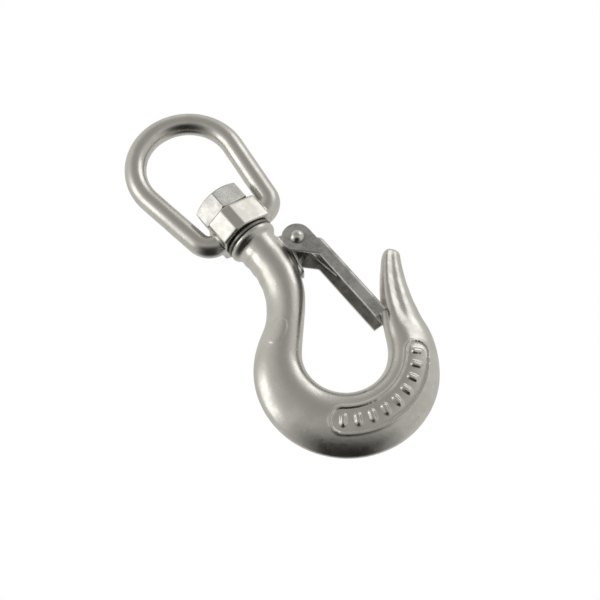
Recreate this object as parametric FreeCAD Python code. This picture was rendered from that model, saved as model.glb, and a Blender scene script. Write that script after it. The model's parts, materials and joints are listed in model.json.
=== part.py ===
import FreeCAD, Part
import math
import os

# Swivel hook with a spring latch. +Z runs up the swivel axis, +X points to the throat and the tip,
# Y is the thickness. The origin is the bearing point at the inside of the eye's crown.
# All sizes are millimetres and degrees.

V = FreeCAD.Vector
X_AXIS = V(1, 0, 0)
Y_AXIS = V(0, 1, 0)
Z_AXIS = V(0, 0, 1)
TINY = 1e-6                  # two places this near are the same

# ---- overall ----
OVERALL_LENGTH = 138.0       # top of the eye to the bottom of the hook

# ---- eye ----
EYE_INNER_WIDTH = 27.0       # widest inner width, under the crown
EYE_BAR = 7.2                # round bar of the crown and the legs
EYE_LEG_TAPER = 7.5          # lean of each leg towards the boss
EYE_CORNER_RADIUS = 5.2      # centre-line radius at the foot of each leg
EYE_CLEAR_LENGTH = 36.8      # inside of the crown to the top of the boss
BOSS_HEIGHT = 9.2
BOSS_FRONT = 9.6             # swivel axis to the narrow front flat
BOSS_FLAT_LEFT = -4.0        # the narrow front flat's two edges
BOSS_FLAT_RIGHT = -0.8
BOSS_SIDE = 9.0              # half width where the flats end
BOSS_SIDE_FRONT = 5.4        # how far forward the flats end
BOSS_EDGE = 0.7              # rounding of the flats' edges
BOSS_FLAT_SKEW = 0.2         # the front flat's left edge stands back by this much
BOSS_RIM = 0.56              # rounding of the boss's upper and lower rims
SHOULDER_WIDTH = 12.4        # the bar's foot swells to this before the boss
SHOULDER_LEAD = 1.0          # the swelling starts this far outside the corner
SHOULDER_SINK = 3.0          # and runs this far into the boss
BAR_END_GAP = 1.0            # shank to the ends of the bar inside the boss

# ---- shank, nut and washer ----
SHANK_DIAMETER = 10.0
BORE_CLEARANCE = 0.08        # radial, shank in the boss and in the washer
NUT_FLATS = 16.0
NUT_HEIGHT = 7.4
NUT_CHAMFER = 0.5            # the turned chamfer starts this far inside the flats
NUT_CHAMFER_ANGLE = 30.0
NUT_FOOT_CHAMFER = 0.4       # takes the corners off at the seat
THREAD_MOUTH = 0.8           # countersink at the top of the nut's thread
SEAT_MARGIN = 0.7            # flat seat on the boss, beyond the nut's corners
NUT_TURN = -14.0             # where the nut's corners stop
NUT_CLEARANCE = 0.06         # radial, stands for the thread
NUT_SEAT_GAP = 0.1           # running gap between nut and boss
SHANK_PROUD = 0.5            # shank's end above the nut
LOCK_PIN_DIAMETER = 2.5
LOCK_PIN_LENGTH = 11.0
LOCK_PIN_CLEARANCE = 0.02    # radial
LOCK_PIN_SINK = 0.1          # pin's end below the nut's flat
LOCK_PIN_CHAMFER = 0.25
LOCK_PIN_TURN = 120.0        # from the nut's first flat to the one with the pin
SHANK_CHAMFER = 1.0
WASHER_THICKNESS = 1.0
WASHER_EDGE = 0.3
END_PLAY = 0.45              # washer to boss
COLLAR_STEP = 1.6            # the bead stands out this far beyond the neck
COLLAR_HEIGHT = 3.0
COLLAR_EDGE = 0.9            # rounding of the bead's upper edge
COLLAR_ROOT = 0.5            # the bead's lower end lies this far inside the neck
BEAD_HOLLOW = (0.24, 0.64)   # the hollow under the bead, as shares of the way in and down

# ---- hook ----
NECK_DIAMETER = 13.4
NECK_FLARE = 0.9             # radial, under the bead
FLARE_LENGTH = 6.6           # bead's top to the flare's end
FLARE_LIMIT = 0.8            # the most of the straight neck that the flare takes
STATION_STEP = 4.0           # cross-sections along the straight neck
FLARE_PATH = ((0.2045, 1.0), (0.4545, 0.42), (0.7273, 0.08), (1.0, 0.0))    # share of length, of flare
THROAT_SIDE_RADIUS = 32.0    # convex bend of the neck's throat side
THROAT_STRAIGHT = 14.883     # straight stretch between that bend and the bowl
BOWL_WIDTH = 26.7
BOWL_OFFSET = -1.9           # bowl centre beside the swivel axis
BOWL_DEPTH = 20.0            # metal under the bowl
BACK_RADIUS = 28.8           # outer arc round the back and the bottom
BACK_OFFSET = -4.95          # its centre beside the swivel axis
LIP_START = 318.5            # where the bowl's arc opens into the lip
LIP_RADIUS = 23.5
LIP_TURN = 14.5
TIP_LENGTH = 29.0
TIP_LEAN = 20.5              # how much the tip bends outwards again
TIP_WIDTH = 6.1
HOOK_THICKNESS = 13.8        # across the bowl
TIP_THICKNESS = 6.0
TIP_THINNING = 0.9           # below 1 the tip gets thin sooner
TIP_END_ANGLES = (28, 50, 68, 80)    # sections of the tip's round end
RIDGE_SHARE = 0.255          # inner edge to the ridge, of the metal's depth
RIDGE_DROP = 0.14            # how much lower the ridge lies than the fullest part of the flank
RIDGE_RISE = 0.35            # share of the flank over which it rises to its fullest
FLUTE = 0.12                 # shallow groove beside the ridge on the tip
FLUTE_WIDTH = 0.62           # of the flank
FULLNESS = (1.04, 1.2, 1.1)  # inner side's curve at the bead, round the bowl and at the tip
TAPER = (0.02, 0.28, 0.05)   # flank's loss of height towards the outer edge, likewise
ROUNDNESS = (2.0, 2.8, 2.2)  # squareness of the outer edge, likewise

# ---- cast details on the front of the hook ----
PANEL_INNER_MARGIN = 6.05    # bowl's edge to the curved panel's inner side
PANEL_INNER_SHIFT = (-1.0, -0.3)    # its centre from the bowl's centre
PANEL_OUTER_MARGIN = 3.4     # back arc to the panel's outer side
PANEL_OUTER_SHIFT = (1.6, 2.45)     # its centre from the back arc's centre
PANEL_START = 229.5          # angles where the two sides run into the round ends
PANEL_END = 322.5
PANEL_DEPTH = 0.55
PANEL_RIM = 0.6              # width of the raised rim
RIM_HEIGHT = 0.3
RIB_COUNT = 9
RIB_LENGTH = 3.4
RIB_WIDTH = 1.5
RIB_CORNER = 0.45            # of the rib's width
OVAL_LENGTH = 8.6
OVAL_WIDTH = 5.4
OVAL_RISE = 4.2              # along the inner edge, from the bowl up to the oval's centre
OVAL_SHIFT = 1.63            # the oval's centre lies this far outside the middle of the metal
OVAL_TURN = 28.0
FRONT_CLEAR = 2.0            # the details' tools stop this far in front of the hook's middle plane

# ---- latch ----
PIVOT_OUT = 3.6              # neck's side to the rivet
PIVOT_DROP = 10.8            # collar's top to the rivet
LUG_THICKNESS = 4.0
LUG_RADIUS = 4.5
LUG_ROUND = (80.0, -62.0)    # angles where the lug's round end starts and stops
LUG_TOP = 1.0                # foot's upper corner above the round end
LUG_STEP = 0.6               # the upper corner's width beyond the neck
LUG_FOOT = 2.6               # foot's lower corner below the round end
LUG_SINK = 3.5               # foot inside the neck
LATCH_WIDTH = 12.0           # outside, across both cheeks
LATCH_SHEET = 1.0
LATCH_WEB_OFFSET = 6.3       # rivet to the web's outer face
CHEEK_HEIGHT = 4.5
EAR_RADIUS = 4.9
EAR_LEAVE = 224.0            # where the cheek's inner edge leaves the round ear
NOTCH_START = 4.1            # rivet down to the slanted notch above the web
WEB_START = 5.4              # rivet down to the web's upper edge
CHEEK_CORNER = 2.0           # rounding where the slanted edge meets the straight one
TIP_CUT_DEPTH = 3.04         # arched cut in the web's end, over the tip's inner edge
TIP_CUT_TRIM = 0.5           # the cut is this much narrower than the tip where they meet
TIP_GAP = 0.45               # tip to the top of the arched cut
LATCH_BEND = 1.3             # outer bend radius of the sheet
LATCH_EDGE = 0.2             # rounding of the sheet's outer edges
RIVET_DIAMETER = 3.5
RIVET_HEAD_DIAMETER = 4.9
RIVET_HEAD_HEIGHT = 1.7
RIVET_SEAT = 0.02            # radial, rivet in the lug
RIVET_CLEARANCE = 0.06       # radial, rivet in the ears
HEAD_GAP = 0.12              # rivet head to ear

# ---- latch spring ----
WIRE = 0.9
COIL_GAP = 0.05              # between one turn and the next
COIL_CLEARANCE = 0.3         # rivet to the inside of the coil
LUG_CLEARANCE = 0.2          # lug to the coil
CHEEK_CLEARANCE = 0.2        # at least this much from the coil to the latch's cheek
SPRING_GAP = 0.3             # wire to the neck and to the web
SPRING_CORNER = 1.4          # centre-line radius of the U-leg's corners
JOINT_SWELL = 0.01           # the round joints of coil and legs stand out this much
SPRING_BACK_LEG = 9.2        # rivet down to the cross bar
SPRING_FRONT_LEG = 15.0      # rivet down to the legs' ends

# ---- levels, down the swivel axis ----
CROWN_Z = -EYE_INNER_WIDTH / 2
BOSS_TOP = -EYE_CLEAR_LENGTH
BOSS_BOTTOM = BOSS_TOP - BOSS_HEIGHT
COLLAR_TOP = BOSS_BOTTOM - END_PLAY - WASHER_THICKNESS
NUT_BOTTOM = BOSS_TOP + NUT_SEAT_GAP
NUT_TOP = NUT_BOTTOM + NUT_HEIGHT
NUT_CORNER = NUT_FLATS / math.sqrt(3)
COLLAR_DIAMETER = NECK_DIAMETER + 2 * COLLAR_STEP
WASHER_DIAMETER = COLLAR_DIAMETER
BOTTOM_Z = EYE_BAR - OVERALL_LENGTH

# ---- centres in the hook's plane, as (x, z) ----
BACK_CENTRE = (BACK_OFFSET, BOTTOM_Z + BACK_RADIUS)
BOWL_RADIUS = BOWL_WIDTH / 2
BOWL_CENTRE = (BOWL_OFFSET, BOTTOM_Z + BOWL_DEPTH + BOWL_RADIUS)
PIVOT = (NECK_DIAMETER / 2 + PIVOT_OUT, COLLAR_TOP - PIVOT_DROP)


def at(x, z, y=0.0):
    """Point in the hook's plane, or at a distance in front of it or behind it."""
    return V(x, y, z)


def polar(centre, radius, degrees):
    """Point (x, z) on a circle in the hook's plane."""
    a = math.radians(degrees)
    return (centre[0] + radius * math.cos(a), centre[1] + radius * math.sin(a))


def heading(degrees):
    """Direction (x, z) at an angle."""
    return polar((0.0, 0.0), 1.0, degrees)


# ---- throat side of the neck: a bend, then a straight stretch down to the bowl ----
BEND_SPAN = THROAT_SIDE_RADIUS + BOWL_RADIUS
BEND_X = NECK_DIAMETER / 2 - THROAT_SIDE_RADIUS
BEND_RISE = math.sqrt(BEND_SPAN ** 2 + THROAT_STRAIGHT ** 2 - (BEND_X - BOWL_OFFSET) ** 2)
NECK_Z = BOWL_CENTRE[1] + BEND_RISE
BEND_CENTRE = (BEND_X, NECK_Z)
BEND_DIRECTION = math.degrees(math.atan2(BEND_RISE, BEND_X - BOWL_OFFSET))
BOWL_START = BEND_DIRECTION + math.degrees(math.atan2(THROAT_STRAIGHT, BEND_SPAN))
BOWL_START_POINT = polar(BOWL_CENTRE, BOWL_RADIUS, BOWL_START)
THROAT_LEAN = 180 - BOWL_START
UP_THE_THROAT = heading(90 - THROAT_LEAN)
BEND_END = polar(BEND_CENTRE, THROAT_SIDE_RADIUS, -THROAT_LEAN)

# ---- lip and tip, along the inner edge ----
LIP_CENTRE = polar(BOWL_CENTRE, BOWL_RADIUS - LIP_RADIUS, LIP_START)
LIP_LENGTH = math.radians(LIP_TURN) * LIP_RADIUS
TIP_REACH = LIP_LENGTH + TIP_LENGTH


def arc_edge(centre, radius, start, end, y=0.0):
    """Circular edge in the hook's plane from one angle to another."""
    first = polar(centre, radius, start)
    middle = polar(centre, radius, (start + end) / 2)
    last = polar(centre, radius, end)
    return Part.Arc(at(*first, y), at(*middle, y), at(*last, y)).toShape()


def line_edge(first, last, y=0.0):
    """Straight edge between two points (x, z)."""
    return Part.LineSegment(at(*first, y), at(*last, y)).toShape()


def slab(edges, low_y, high_y):
    """Solid between two levels of Y with an outline drawn at the lower one."""
    face = Part.Face(Part.Wire(Part.__sortEdges__(edges)))
    return face.extrude(V(0, high_y - low_y, 0))


def disc(centre, radius, low_y, high_y):
    """Cylinder along Y."""
    return Part.makeCylinder(radius, high_y - low_y, at(*centre, low_y), Y_AXIS)


def circles(shape):
    """A turned shape's round edges."""
    return [e for e in shape.Edges if e.Curve.TypeId == "Part::GeomCircle"]


def smooth(t):
    """Ease from 0 to 1 with level ends."""
    t = min(1.0, max(0.0, t))
    return t * t * (3 - 2 * t)


def mix(a, b, t):
    return a + (b - a) * t


# ------------------------------------------------------------------ eye

def eye_centre_line():
    """Bar's centre line: foot, corner, leg, crown, leg, corner, foot."""
    radius = (EYE_INNER_WIDTH + EYE_BAR) / 2
    crown = (0.0, CROWN_Z)
    foot_z = BOSS_BOTTOM + EYE_BAR / 2
    lean = math.radians(EYE_LEG_TAPER)
    top = polar(crown, radius, -EYE_LEG_TAPER)
    corner_z = foot_z + EYE_CORNER_RADIUS
    # the corner's centre lies inside the leg by the corner's radius
    along = (top[1] - corner_z + EYE_CORNER_RADIUS * math.sin(lean)) / math.cos(lean)
    low = (top[0] - along * math.sin(lean), top[1] - along * math.cos(lean))
    corner = (low[0] - EYE_CORNER_RADIUS * math.cos(lean), corner_z)
    inner = (SHANK_DIAMETER / 2 + BAR_END_GAP, foot_z)
    edges = [arc_edge(crown, radius, -EYE_LEG_TAPER, 180 + EYE_LEG_TAPER)]
    for side in (1, -1):
        edges.append(line_edge((side * top[0], top[1]), (side * low[0], low[1])))
        turn = arc_edge(corner, EYE_CORNER_RADIUS, -EYE_LEG_TAPER, -90)
        if side < 0:
            turn = turn.mirror(V(0, 0, 0), X_AXIS)
        edges.append(turn)
        edges.append(line_edge((side * corner[0], foot_z), (side * inner[0], foot_z)))
    return Part.Wire(Part.__sortEdges__(edges)), corner[0]


def eye_bar():
    path, corner_x = eye_centre_line()
    ends = [v.Point for v in path.Vertexes if v.Point.z < BOSS_TOP and abs(v.Point.x) < BOSS_SIDE]
    section = Part.Wire([Part.makeCircle(EYE_BAR / 2, ends[0], X_AXIS)])
    return path.makePipeShell([section], True, False), corner_x


def eye_shoulder(side, corner_x):
    """The foot of a leg swelling to the height of the boss."""
    foot_z = BOSS_BOTTOM + EYE_BAR / 2
    boss_z = (BOSS_TOP + BOSS_BOTTOM) / 2
    steps = 5
    wires = []
    for i in range(steps):
        t = i / (steps - 1)
        x = mix(corner_x + SHOULDER_LEAD, BOSS_SIDE - SHOULDER_SINK, t)
        swell = smooth(t)
        half_y = mix(EYE_BAR, SHOULDER_WIDTH, swell) / 2
        half_z = mix(EYE_BAR, BOSS_HEIGHT, swell) / 2
        centre = at(side * x, mix(foot_z, boss_z, swell))
        if half_y > half_z:
            ellipse = Part.Ellipse(centre + V(0, half_y, 0), centre + V(0, 0, half_z), centre)
            wires.append(Part.Wire([ellipse.toShape()]))
        else:
            wires.append(Part.Wire([Part.makeCircle(half_y, centre, X_AXIS)]))
    return Part.makeLoft(wires, True)


def eye_boss():
    """Boss with uneven forged flats, the same front and back when turned by half a turn."""
    corners = [
        (-BOSS_SIDE, -BOSS_SIDE_FRONT),
        (BOSS_FLAT_LEFT, -BOSS_FRONT + BOSS_FLAT_SKEW),
        (BOSS_FLAT_RIGHT, -BOSS_FRONT),
        (BOSS_SIDE, -BOSS_SIDE_FRONT),
    ]
    corners += [(-x, -y) for x, y in corners]
    points = [V(x, y, BOSS_BOTTOM) for x, y in corners]
    block = Part.Face(Part.makePolygon(points + points[:1])).extrude(V(0, 0, BOSS_HEIGHT))
    upright = [e for e in block.Edges if abs(e.tangentAt(e.FirstParameter).z) > 0.9]
    block = block.makeFillet(BOSS_EDGE, upright)
    rims = [e for e in block.Edges if abs(e.tangentAt(e.FirstParameter).z) < 0.1]
    return block.makeFillet(BOSS_RIM, rims)


def swivel_eye():
    bar, corner_x = eye_bar()
    body = eye_boss()
    for side in (1, -1):
        body = body.fuse(eye_shoulder(side, corner_x))
    body = body.fuse(bar)
    bore = Part.makeCylinder(SHANK_DIAMETER / 2 + BORE_CLEARANCE, 3 * BOSS_HEIGHT,
                             V(0, 0, BOSS_BOTTOM - BOSS_HEIGHT), Z_AXIS)
    seat = Part.makeCylinder(NUT_CORNER + SEAT_MARGIN, NUT_HEIGHT + SHANK_PROUD,
                             V(0, 0, BOSS_TOP), Z_AXIS)
    return body.cut(bore).cut(seat).removeSplitter()


# ------------------------------------------------------------------ hook outline

def neck_back_radius():
    """Radius of the back's reverse bend, which is tangent to the neck and to the back arc."""
    dx = BACK_CENTRE[0] + NECK_DIAMETER / 2
    dz = BACK_CENTRE[1] - NECK_Z
    return (dx * dx + dz * dz - BACK_RADIUS ** 2) / (2 * (BACK_RADIUS - dx))


class Station:
    """One cross-section of the hook: a point of the inner edge and the direction into the metal."""

    def __init__(self, point, into, depth, family, progress, swell=0.0):
        self.point = point
        self.into = into
        self.depth = depth
        self.family = family
        self.progress = progress
        self.swell = swell


def ray_to_circle(point, into, centre, radius, nearest):
    """Distance along a ray to a circle, or None where the ray misses it."""
    px = point[0] - centre[0]
    pz = point[1] - centre[1]
    b = px * into[0] + pz * into[1]
    square = b * b - (px * px + pz * pz - radius * radius)
    if square < 0:
        return None
    return -b - math.sqrt(square) if nearest else -b + math.sqrt(square)


def metal_depth(point, into):
    """Inner edge to the outer edge, which is the back arc or the reverse bend above it."""
    radius = neck_back_radius()
    bend = (-NECK_DIAMETER / 2 - radius, NECK_Z)
    reach = radius / (radius + BACK_RADIUS)
    join_z = bend[1] + (BACK_CENTRE[1] - bend[1]) * reach
    far = ray_to_circle(point, into, BACK_CENTRE, BACK_RADIUS, False)
    if far is not None and point[1] + far * into[1] <= join_z:
        return far
    return ray_to_circle(point, into, bend, radius, True)


def lip_place(travel):
    """Inner edge beyond the bowl, at a distance along it: the point and the angle into the metal."""
    if travel <= LIP_LENGTH:
        angle = LIP_START + math.degrees(travel / LIP_RADIUS)
        return polar(LIP_CENTRE, LIP_RADIUS, angle), angle
    lip_end = polar(LIP_CENTRE, LIP_RADIUS, LIP_START + LIP_TURN)
    tip_radius = TIP_LENGTH / math.radians(TIP_LEAN)
    turn_centre = polar(lip_end, tip_radius, LIP_START + LIP_TURN)
    angle = LIP_START + LIP_TURN - TIP_LEAN * (travel - LIP_LENGTH) / TIP_LENGTH
    return polar(turn_centre, tip_radius, angle + 180), angle


def tip_meeting(x):
    """Where the tip's inner edge stands at a distance from the swivel axis: travel and height."""
    low = 0.0
    high = TIP_REACH
    while high - low > TINY:
        middle = (low + high) / 2
        if lip_place(middle)[0][0] < x:
            low = middle
        else:
            high = middle
    return low, lip_place(low)[0][1]


def tip_section_thickness(share):
    """Thickness of the lip and the tip at a share of the way to the tip's end."""
    return mix(HOOK_THICKNESS, TIP_THICKNESS, share ** TIP_THINNING)


def hook_stations():
    """Cross-sections from the neck, round the bowl, to the end of the tip."""
    stations = []
    # the neck flares where it meets the bead
    flare_length = min(FLARE_LENGTH, FLARE_LIMIT * (COLLAR_TOP - NECK_Z))
    for drop, share in FLARE_PATH:
        swell = NECK_FLARE * share
        point = (NECK_DIAMETER / 2 + swell, COLLAR_TOP - flare_length * drop)
        depth = NECK_DIAMETER + 2 * swell
        stations.append(Station(point, (-1.0, 0.0), depth, "neck", 0.0, swell))
    # what is left of the straight neck
    start = COLLAR_TOP - flare_length
    count = math.ceil((start - NECK_Z) / STATION_STEP)
    for i in range(1, count):
        point = (NECK_DIAMETER / 2, mix(start, NECK_Z, i / count))
        stations.append(Station(point, (-1.0, 0.0), NECK_DIAMETER, "neck", 0.0))
    # convex bend on the throat side
    steps = 6
    for i in range(steps + 1):
        angle = mix(0.0, -THROAT_LEAN, i / steps)
        point = polar(BEND_CENTRE, THROAT_SIDE_RADIUS, angle)
        into = heading(angle + 180)
        stations.append(Station(point, into, metal_depth(point, into), "neck", i / (steps + 2)))
    # straight stretch down to the bowl
    point = (mix(BEND_END[0], BOWL_START_POINT[0], 0.5), mix(BEND_END[1], BOWL_START_POINT[1], 0.5))
    into = heading(BOWL_START)
    stations.append(Station(point, into, metal_depth(point, into), "neck", (steps + 1) / (steps + 2)))
    # bowl
    steps = 12
    for i in range(steps + 1):
        angle = mix(BOWL_START, LIP_START, i / steps)
        point = polar(BOWL_CENTRE, BOWL_RADIUS, angle)
        into = heading(angle)
        stations.append(Station(point, into, metal_depth(point, into), "bowl", i / steps))
    # lip and tip
    full = stations[-1].depth
    steps = 10
    for i in range(1, steps + 1):
        point, angle = lip_place(TIP_REACH * i / steps)
        depth = mix(full, TIP_WIDTH, i / steps)
        stations.append(Station(point, heading(angle), depth, "tip", i / steps))
    return stations


# ------------------------------------------------------------------ hook cross-section

class Section:
    """Shape of one side of a cross-section, from the inner edge over the ridge to the outer edge."""

    def __init__(self, half, ridge, fullness, taper, roundness, drop, flute):
        self.half = half
        self.ridge = ridge
        self.fullness = fullness
        self.taper = taper
        self.roundness = roundness
        self.drop = drop
        self.flute = flute

    def inner(self, u):
        """Half thickness between the inner edge and the ridge."""
        crest = self.ridge * self.fullness
        height = math.sqrt(max(0.0, 1 - ((crest - u) / crest) ** 2))
        full = math.sqrt(1 - ((crest - self.ridge) / crest) ** 2)
        return self.half * (1 - self.drop) * height / full

    def flank(self, v):
        """Half thickness at a share of the way from the ridge to the outer edge."""
        height = math.sqrt(max(0.0, 1 - v ** self.roundness)) * (1 - self.taper * v)
        if v < RIDGE_RISE:
            height *= 1 - self.drop * (1 - v / RIDGE_RISE) ** 2
        if v < FLUTE_WIDTH:
            height *= 1 - self.flute * math.sin(math.pi * v / FLUTE_WIDTH) ** 2
        return self.half * height


def section_shape(station):
    """Cross-section at a station: round under the bead, ridged round the bowl, fluted on the tip."""
    t = smooth(station.progress)
    if station.family == "neck":
        half = mix(NECK_DIAMETER, HOOK_THICKNESS, t) / 2 + station.swell
        ridge = mix(station.depth / 2, RIDGE_SHARE * station.depth, t)
        curves = [mix(curve[0], curve[1], t) for curve in (FULLNESS, TAPER, ROUNDNESS)]
        return Section(half, ridge, *curves, RIDGE_DROP * t, 0.0)
    ridge = RIDGE_SHARE * station.depth
    if station.family == "bowl":
        return Section(HOOK_THICKNESS / 2, ridge, FULLNESS[1], TAPER[1], ROUNDNESS[1], RIDGE_DROP, 0.0)
    half = tip_section_thickness(station.progress) / 2
    flute = FLUTE * smooth(2 * station.progress)
    curves = [mix(curve[1], curve[2], t) for curve in (FULLNESS, TAPER, ROUNDNESS)]
    return Section(half, ridge, *curves, RIDGE_DROP * (1 - t), flute)


def half_section(station, grow):
    """Points (into the metal, half thickness) from the inner edge to the outer edge."""
    section = section_shape(station)
    stretch = (section.half + grow) / section.half
    points = []
    inner_steps = 6
    for i in range(inner_steps + 1):
        u = section.ridge * (1 - math.cos(math.pi * i / (2 * inner_steps)))
        points.append((u, stretch * section.inner(u)))
    flank_steps = 10
    for i in range(1, flank_steps + 1):
        v = smooth(i / flank_steps)
        u = mix(section.ridge, station.depth, v)
        points.append((u, stretch * section.flank(v)))
    return points


def whole_section(station, grow):
    half = half_section(station, grow)
    return half + [(u, -y) for u, y in reversed(half[1:-1])]


def section_parameters(station):
    """Share of the outline's length at each point. All the sections use the same ones."""
    points = whole_section(station, 0.0)
    points.append(points[0])
    shares = [0.0]
    for first, last in zip(points, points[1:]):
        shares.append(shares[-1] + math.dist(first, last))
    return [share / shares[-1] for share in shares]


def section_wire(station, grow, parameters, scale=1.0, shift=(0.0, 0.0)):
    """Closed smooth outline of one cross-section, shrunk about its middle for the tip's end."""
    full = whole_section(station, grow)
    middle = station.depth / 2
    points = []
    for u, y in full:
        reach = middle + (u - middle) * scale
        x = station.point[0] + station.into[0] * reach + shift[0]
        z = station.point[1] + station.into[1] * reach + shift[1]
        points.append(V(x, -y * scale, z))
    curve = Part.BSplineCurve()
    curve.interpolate(Points=points, Parameters=parameters, PeriodicFlag=True)
    return Part.Wire([curve.toShape()])


def hook_blank(grow=0.0):
    """Neck, bowl and tip as one smooth solid. A change of grow moves only its two sides."""
    stations = hook_stations()
    parameters = section_parameters(stations[len(stations) // 2])
    wires = [section_wire(s, grow, parameters) for s in stations]
    last = stations[-1]
    along = (-last.into[1], last.into[0])
    for angle in TIP_END_ANGLES:
        forward = TIP_WIDTH / 2 * math.sin(math.radians(angle))
        shift = (along[0] * forward, along[1] * forward)
        wires.append(section_wire(last, grow, parameters, math.cos(math.radians(angle)), shift))
    return Part.makeLoft(wires, True)


# ------------------------------------------------------------------ hook details

def shank_and_collar():
    """Shank and bead, turned about the swivel axis."""
    shank = SHANK_DIAMETER / 2
    rim = COLLAR_DIAMETER / 2
    end = NUT_TOP + SHANK_PROUD
    wide_z = COLLAR_TOP - COLLAR_EDGE
    lower_z = COLLAR_TOP - COLLAR_HEIGHT
    inner = NECK_DIAMETER / 2 - COLLAR_ROOT
    diagonal = math.sqrt(0.5)
    edge_mid = (rim - COLLAR_EDGE * (1 - diagonal), COLLAR_TOP - COLLAR_EDGE * (1 - diagonal))
    under_mid = (mix(rim, inner, BEAD_HOLLOW[0]), mix(wide_z, lower_z, BEAD_HOLLOW[1]))
    edges = [
        line_edge((0, lower_z), (0, end)),
        line_edge((0, end), (shank - SHANK_CHAMFER, end)),
        line_edge((shank - SHANK_CHAMFER, end), (shank, end - SHANK_CHAMFER)),
        line_edge((shank, end - SHANK_CHAMFER), (shank, COLLAR_TOP)),
        line_edge((shank, COLLAR_TOP), (rim - COLLAR_EDGE, COLLAR_TOP)),
        Part.Arc(at(rim - COLLAR_EDGE, COLLAR_TOP), at(*edge_mid), at(rim, wide_z)).toShape(),
        Part.Arc(at(rim, wide_z), at(*under_mid), at(inner, lower_z)).toShape(),
        line_edge((inner, lower_z), (0, lower_z)),
    ]
    return Part.Face(Part.Wire(edges)).revolve(V(0, 0, 0), Z_AXIS, 360)


def latch_lug():
    """Plate on the throat side that carries the rivet."""
    half = LUG_THICKNESS / 2
    top = PIVOT[1] + LUG_RADIUS + LUG_TOP
    foot_x = NECK_DIAMETER / 2 - LUG_SINK
    step_x = NECK_DIAMETER / 2 + LUG_STEP
    low_z = PIVOT[1] - LUG_RADIUS - LUG_FOOT
    first = polar(PIVOT, LUG_RADIUS, LUG_ROUND[0])
    last = polar(PIVOT, LUG_RADIUS, LUG_ROUND[1])
    edges = [
        line_edge((foot_x, low_z), (foot_x, top), -half),
        line_edge((foot_x, top), (step_x, top), -half),
        line_edge((step_x, top), first, -half),
        arc_edge(PIVOT, LUG_RADIUS, LUG_ROUND[0], LUG_ROUND[1], -half),
        line_edge(last, (foot_x, low_z), -half),
    ]
    return slab(edges, -half, half)


def panel_sides(grow):
    """Centre and radius of the panel's inner side, which follows the bowl, and of its outer side."""
    inner = (BOWL_CENTRE[0] + PANEL_INNER_SHIFT[0], BOWL_CENTRE[1] + PANEL_INNER_SHIFT[1])
    outer = (BACK_CENTRE[0] + PANEL_OUTER_SHIFT[0], BACK_CENTRE[1] + PANEL_OUTER_SHIFT[1])
    return (inner, BOWL_RADIUS + PANEL_INNER_MARGIN - grow), (outer, BACK_RADIUS - PANEL_OUTER_MARGIN + grow)


def panel_ends(degrees, grow):
    """Points of the panel's inner and outer side at an angle."""
    inner, outer = panel_sides(grow)
    return polar(*inner, degrees), polar(*outer, degrees)


def panel_cap(degrees, grow, side, y):
    """Round end of the panel."""
    inner, outer = panel_ends(degrees, grow)
    middle = (mix(inner[0], outer[0], 0.5), mix(inner[1], outer[1], 0.5))
    end = polar(middle, math.dist(inner, outer) / 2, degrees + side * 90)
    return Part.Arc(at(*inner, y), at(*end, y), at(*outer, y)).toShape()


def panel_outline(grow, y):
    """Outline of the curved panel, or of the rim round it."""
    inner, outer = panel_sides(grow)
    return [
        arc_edge(*inner, PANEL_START, PANEL_END, y),
        arc_edge(*outer, PANEL_START, PANEL_END, y),
        panel_cap(PANEL_START, grow, -1, y),
        panel_cap(PANEL_END, grow, 1, y),
    ]


def rib_blocks(low_y, high_y):
    """Plain ribs across the panel, evenly spaced."""
    ribs = []
    for i in range(RIB_COUNT):
        angle = mix(PANEL_START, PANEL_END, i / (RIB_COUNT - 1))
        inner, outer = panel_ends(angle, 0)
        box = Part.makeBox(RIB_LENGTH, high_y - low_y, RIB_WIDTH,
                           V(-RIB_LENGTH / 2, low_y, -RIB_WIDTH / 2))
        upright = [e for e in box.Edges if abs(e.tangentAt(e.FirstParameter).y) > 0.9]
        box = box.makeFillet(RIB_WIDTH * RIB_CORNER, upright)
        box.rotate(V(0, 0, 0), Y_AXIS, -angle)
        box.translate(V(mix(inner[0], outer[0], 0.5), 0, mix(inner[1], outer[1], 0.5)))
        ribs.append(box)
    return ribs


def oval_prism():
    """Column under the plain oval pad, which lies in the metal beside the throat's straight stretch."""
    edge = tuple(place + OVAL_RISE * way for place, way in zip(BOWL_START_POINT, UP_THE_THROAT))
    into = heading(BOWL_START)
    centre = polar(edge, metal_depth(edge, into) / 2 + OVAL_SHIFT, BOWL_START)
    ellipse = Part.Ellipse(at(0, 0), OVAL_LENGTH / 2, OVAL_WIDTH / 2)
    face = Part.Face(Part.Wire([ellipse.toShape()]))
    face.rotate(V(0, 0, 0), X_AXIS, 90)
    face.rotate(V(0, 0, 0), Y_AXIS, -OVAL_TURN)
    face.translate(at(*centre, -HOOK_THICKNESS))
    return face.extrude(V(0, HOOK_THICKNESS - FRONT_CLEAR, 0))


def hook_body():
    front = -HOOK_THICKNESS
    back = -FRONT_CLEAR
    body = hook_blank()
    # the curved panel: a raised rim round a shallow pocket with plain ribs left standing
    core = hook_blank(-PANEL_DEPTH)
    skin = hook_blank(RIM_HEIGHT)
    rim_outer = slab(panel_outline(PANEL_RIM, front), front, back)
    field = slab(panel_outline(0, front), front, back)
    body = body.fuse(skin.common(rim_outer))
    pocket = field.cut(core)
    for rib in rib_blocks(front, back):
        pocket = pocket.cut(rib)
    body = body.cut(pocket)
    body = body.fuse(skin.common(oval_prism()))
    body = body.fuse(shank_and_collar()).fuse(latch_lug())
    body = body.cut(disc(PIVOT, RIVET_DIAMETER / 2 + RIVET_SEAT, -HOOK_THICKNESS, HOOK_THICKNESS))
    return body.cut(lock_pin_hole())


# ------------------------------------------------------------------ nut, pin, washer

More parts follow.
